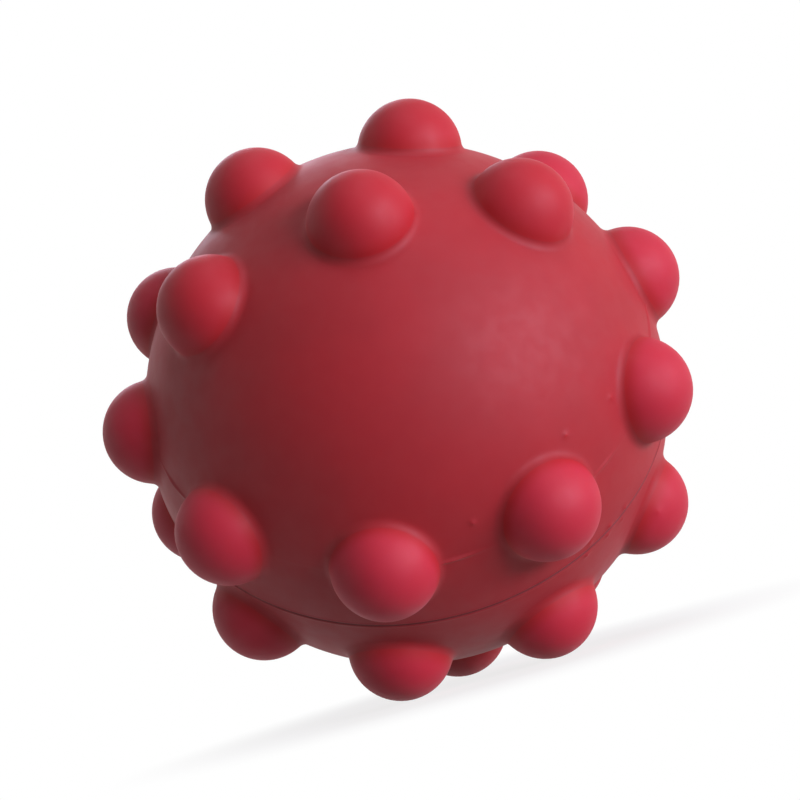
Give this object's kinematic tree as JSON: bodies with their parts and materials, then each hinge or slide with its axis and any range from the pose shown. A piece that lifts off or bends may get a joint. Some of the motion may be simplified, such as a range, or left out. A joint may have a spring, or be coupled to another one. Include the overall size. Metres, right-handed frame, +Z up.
{
  "type": "sensory ball",
  "caption": "Hollow natural rubber sensory ball with round nubs all over, moulded in two halves bonded at a seam, with a press-in reed whistle.",
  "frame": {"origin": "middle of the ball's footprint, on the surface that it stands on", "axes": "+Z up, with the ball standing on three nubs of its lower half; the upper half's bare panel faces -Y; +X to the right seen from the front, along the ball's longest reach"},
  "size_m": [0.0865, 0.0808, 0.0826],
  "materials": {
    "rubber": "solid natural rubber, coloured through, matt with a soft sheen",
    "whistle_plastic": "moulded off-white polypropylene, satin",
    "reed_brass": "thin rolled brass strip, left bright"
  },
  "bodies": {
    "ball": {"upper_shell": "rubber", "lower_shell": "rubber", "whistle_body": "whistle_plastic", "whistle_cap": "whistle_plastic", "reed_tube": "whistle_plastic", "reed_clip": "whistle_plastic"},
    "reed_body": {"reed": "reed_brass"}
  },
  "joints": [
    {"name": "reed_flex", "type": "hinge", "parent": "ball", "child": "reed_body", "pos_m": [-0.01513, 0.02153, 0.0313], "axis": [0.3327, 0.5341, 0.7772], "range_deg": [-5.5, 5], "stiffness_Nm_per_rad": 0.00004}
  ]
}
